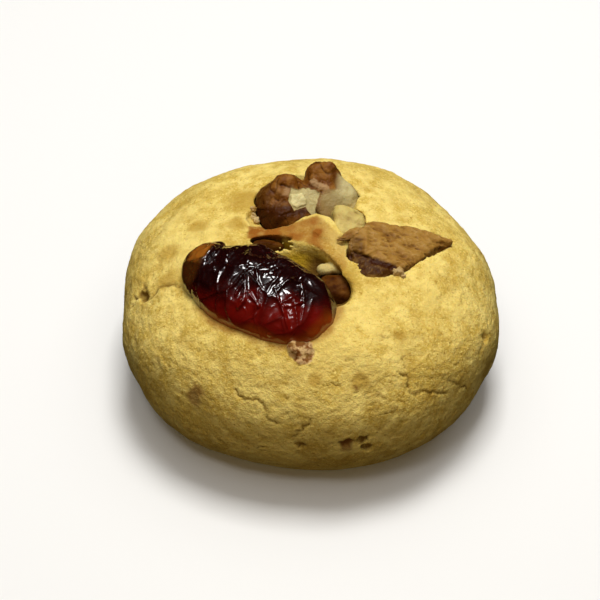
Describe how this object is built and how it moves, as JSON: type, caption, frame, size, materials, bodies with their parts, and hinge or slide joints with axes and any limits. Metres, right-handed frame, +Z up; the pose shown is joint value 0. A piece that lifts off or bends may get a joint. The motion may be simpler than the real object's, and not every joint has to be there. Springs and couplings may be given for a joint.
{
  "type": "cranberry cookie",
  "caption": "Small round domed cookie of pale golden dough, topped with a wrinkled dried cranberry and broken walnut kernels baked into its crown.",
  "frame": {"origin": "on the table under the middle of the cookie's bounding box", "axes": "+Z up from the flat underside through the crown, -Y toward the cranberry side that the picture shows in front, +X to the right as seen from there"},
  "size_m": [0.038, 0.0374, 0.0197],
  "materials": {
    "dough": "matte baked crumb with fine pits and cracks",
    "cranberry": "glossy wrinkled dried fruit, red where it is thin",
    "walnut": "satin brown kernel skin with creases",
    "walnut_flesh": "pale waxy broken kernel"
  },
  "bodies": {
    "root": {"dough": "dough", "cranberry": "cranberry", "walnut_lobed": "walnut", "walnut_wedge": "walnut", "walnut_sliver": "walnut", "kernel_sunk": "walnut", "kernel_pale": "walnut_flesh"}
  },
  "joints": []
}
